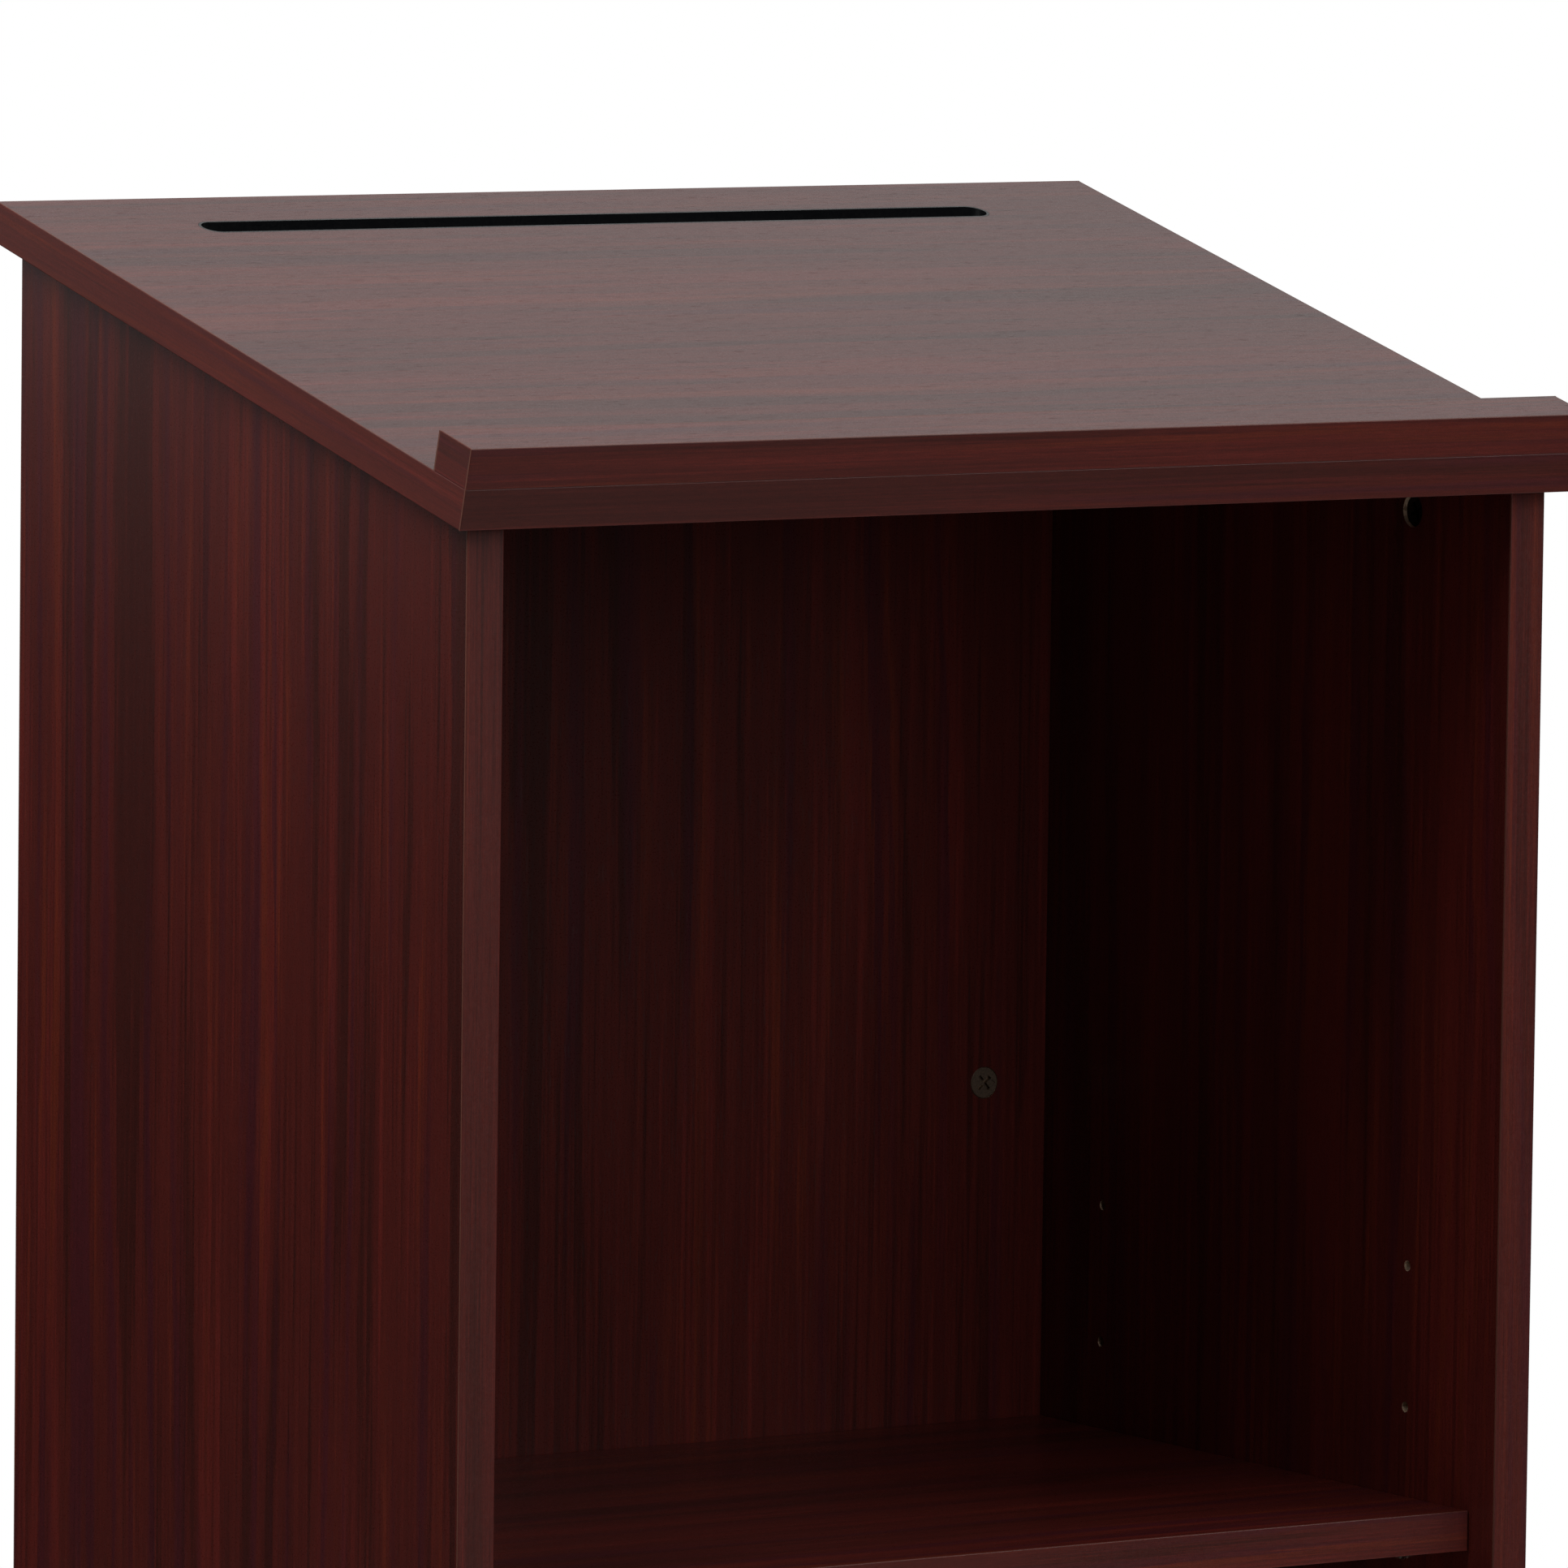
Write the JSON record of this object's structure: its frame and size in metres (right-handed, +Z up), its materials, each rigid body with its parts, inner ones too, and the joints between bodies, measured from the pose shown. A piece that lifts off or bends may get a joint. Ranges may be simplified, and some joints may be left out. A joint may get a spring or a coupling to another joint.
{
  "type": "presentation lectern",
  "caption": "Floor-standing lectern with a sloping desk top, book stop, pen groove, closed back and sides, and an open side with an adjustable shelf.",
  "frame": {"origin": "on the floor, under the middle of the overall box", "axes": "+Z up, +X across the desk top, -Y towards the speaker, who stands at the open side"},
  "size_m": [0.58, 0.4088, 1.1679],
  "materials": {
    "laminate": "dark mahogany-look melamine laminate on chipboard, satin",
    "edge_band": "1 mm plastic edge band in the laminate's colour, satin",
    "liner_plastic": "black moulded plastic, semi-gloss",
    "cam_zinc": "die-cast zinc, dull",
    "bolt_steel": "zinc-plated steel",
    "dowel_wood": "fluted beech",
    "pin_steel": "nickel-plated pressed steel",
    "nail_steel": "bright steel",
    "glide_plastic": "dark nylon",
    "screw_steel": "yellow-passivated steel"
  },
  "bodies": {
    "carcass": {"back_panel": "laminate", "back_panel_cam_bolts": "bolt_steel", "back_panel_cams": "cam_zinc", "back_panel_dowels": "dowel_wood", "book_stop": "laminate", "book_stop_front_band": "edge_band", "book_stop_left_band": "edge_band", "book_stop_rear_band": "edge_band", "book_stop_right_band": "edge_band", "book_stop_screws": "screw_steel", "bottom_shelf": "laminate", "bottom_shelf_cam_bolts": "bolt_steel", "bottom_shelf_cams": "cam_zinc", "bottom_shelf_dowels": "dowel_wood", "bottom_shelf_front_band": "edge_band", "desk_front_band": "edge_band", "desk_left_band": "edge_band", "desk_rear_band": "edge_band", "desk_right_band": "edge_band", "desk_top": "laminate", "glide_front_left": "glide_plastic", "glide_front_right": "glide_plastic", "glide_nails": "nail_steel", "glide_rear_left": "glide_plastic", "glide_rear_right": "glide_plastic", "kick_plate": "laminate", "kick_plate_cam_bolts": "bolt_steel", "kick_plate_cams": "cam_zinc", "kick_plate_dowels": "dowel_wood", "left_side_front_band": "edge_band", "left_side_panel": "laminate", "left_side_rear_band": "edge_band", "pen_groove_liner": "liner_plastic", "right_side_front_band": "edge_band", "right_side_panel": "laminate", "right_side_rear_band": "edge_band", "side_panel_cam_bolts": "bolt_steel", "side_panel_cams": "cam_zinc", "side_panel_dowels": "dowel_wood"},
    "adjustable_shelf_unit": {"adjustable_shelf": "laminate", "adjustable_shelf_front_band": "edge_band"},
    "shelf_pin_front_left": {"shelf_pin_front_left": "pin_steel"},
    "shelf_pin_front_right": {"shelf_pin_front_right": "pin_steel"},
    "shelf_pin_rear_left": {"shelf_pin_rear_left": "pin_steel"},
    "shelf_pin_rear_right": {"shelf_pin_rear_right": "pin_steel"}
  },
  "joints": [
    {"name": "shelf_lift", "type": "slide", "parent": "carcass", "child": "adjustable_shelf_unit", "axis": [0, 0, 1], "range_m": [0, 0.128]},
    {"name": "shelf_pin_front_left_pull", "type": "slide", "parent": "carcass", "child": "shelf_pin_front_left", "axis": [1, 0, 0], "range_m": [0, 0.009]},
    {"name": "shelf_pin_front_right_pull", "type": "slide", "parent": "carcass", "child": "shelf_pin_front_right", "axis": [-1, 0, 0], "range_m": [0, 0.009]},
    {"name": "shelf_pin_rear_left_pull", "type": "slide", "parent": "carcass", "child": "shelf_pin_rear_left", "axis": [1, 0, 0], "range_m": [0, 0.009]},
    {"name": "shelf_pin_rear_right_pull", "type": "slide", "parent": "carcass", "child": "shelf_pin_rear_right", "axis": [-1, 0, 0], "range_m": [0, 0.009]}
  ]
}
